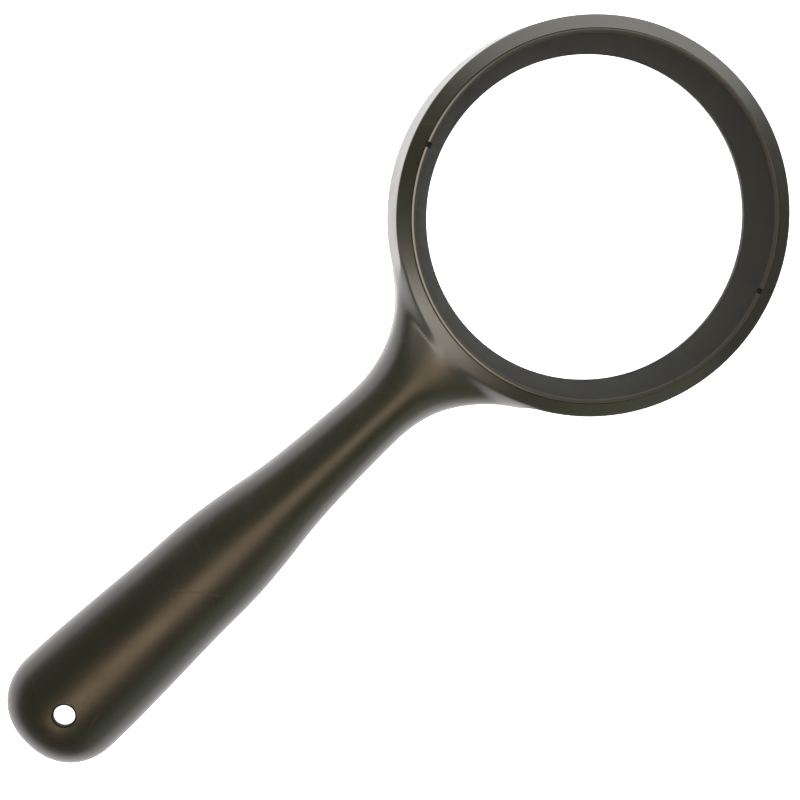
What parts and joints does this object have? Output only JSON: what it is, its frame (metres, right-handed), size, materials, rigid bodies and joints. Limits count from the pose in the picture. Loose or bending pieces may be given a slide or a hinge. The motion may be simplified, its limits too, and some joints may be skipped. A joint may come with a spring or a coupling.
{
  "type": "handheld magnifying glass",
  "caption": "Handheld magnifying glass: round dark plastic rim around a clear lens, funnel-shaped screw-in retaining ring, tapered hollow handle with a hanging hole and a screwed back cover.",
  "frame": {"origin": "middle of the object's footprint, in the plane of the flat back that it rests on; the lens axis is 56.75 mm from it along +Y", "axes": "+Z along the lens axis, out of the front; -Y along the handle towards its butt; +X to the right when seen from the front with the handle down"},
  "size_m": [0.0782, 0.1916, 0.0135],
  "materials": {
    "frame_plastic": "satin-gloss moulded black with fine handling scratches",
    "cover_plastic": "finely textured moulded black",
    "screw_steel": "zinc-plated steel",
    "gasket_rubber": "matt black rubber",
    "lens_glass": "polished clear crown glass",
    "slip_ring_plastic": "smooth waxy black plastic",
    "ring_plastic": "anti-glare matt black, bare bright edge at the crest"
  },
  "bodies": {
    "frame_body": {"frame": "frame_plastic", "handle_back_cover": "cover_plastic", "cover_screw_1": "screw_steel", "cover_screw_2": "screw_steel", "cover_screw_3": "screw_steel", "lens_gasket": "gasket_rubber", "lens": "lens_glass"},
    "slip_ring_body": {"lens_slip_ring": "slip_ring_plastic"},
    "retaining_ring_body": {"retaining_ring": "ring_plastic"}
  },
  "joints": [
    {"name": "retaining_ring_lift", "type": "slide", "parent": "frame_body", "child": "slip_ring_body", "axis": [0, 0, 1], "range_m": [0, 0.00451]},
    {"name": "retaining_ring_turn", "type": "hinge", "parent": "slip_ring_body", "child": "retaining_ring_body", "pos_m": [0, 0.05675, 0.0086], "axis": [0, 0, 1], "range_deg": [0, 540]}
  ],
  "couplings": [
    {"joint": "retaining_ring_lift", "follows": "retaining_ring_turn", "m_per_rad": 0.00047746}
  ]
}
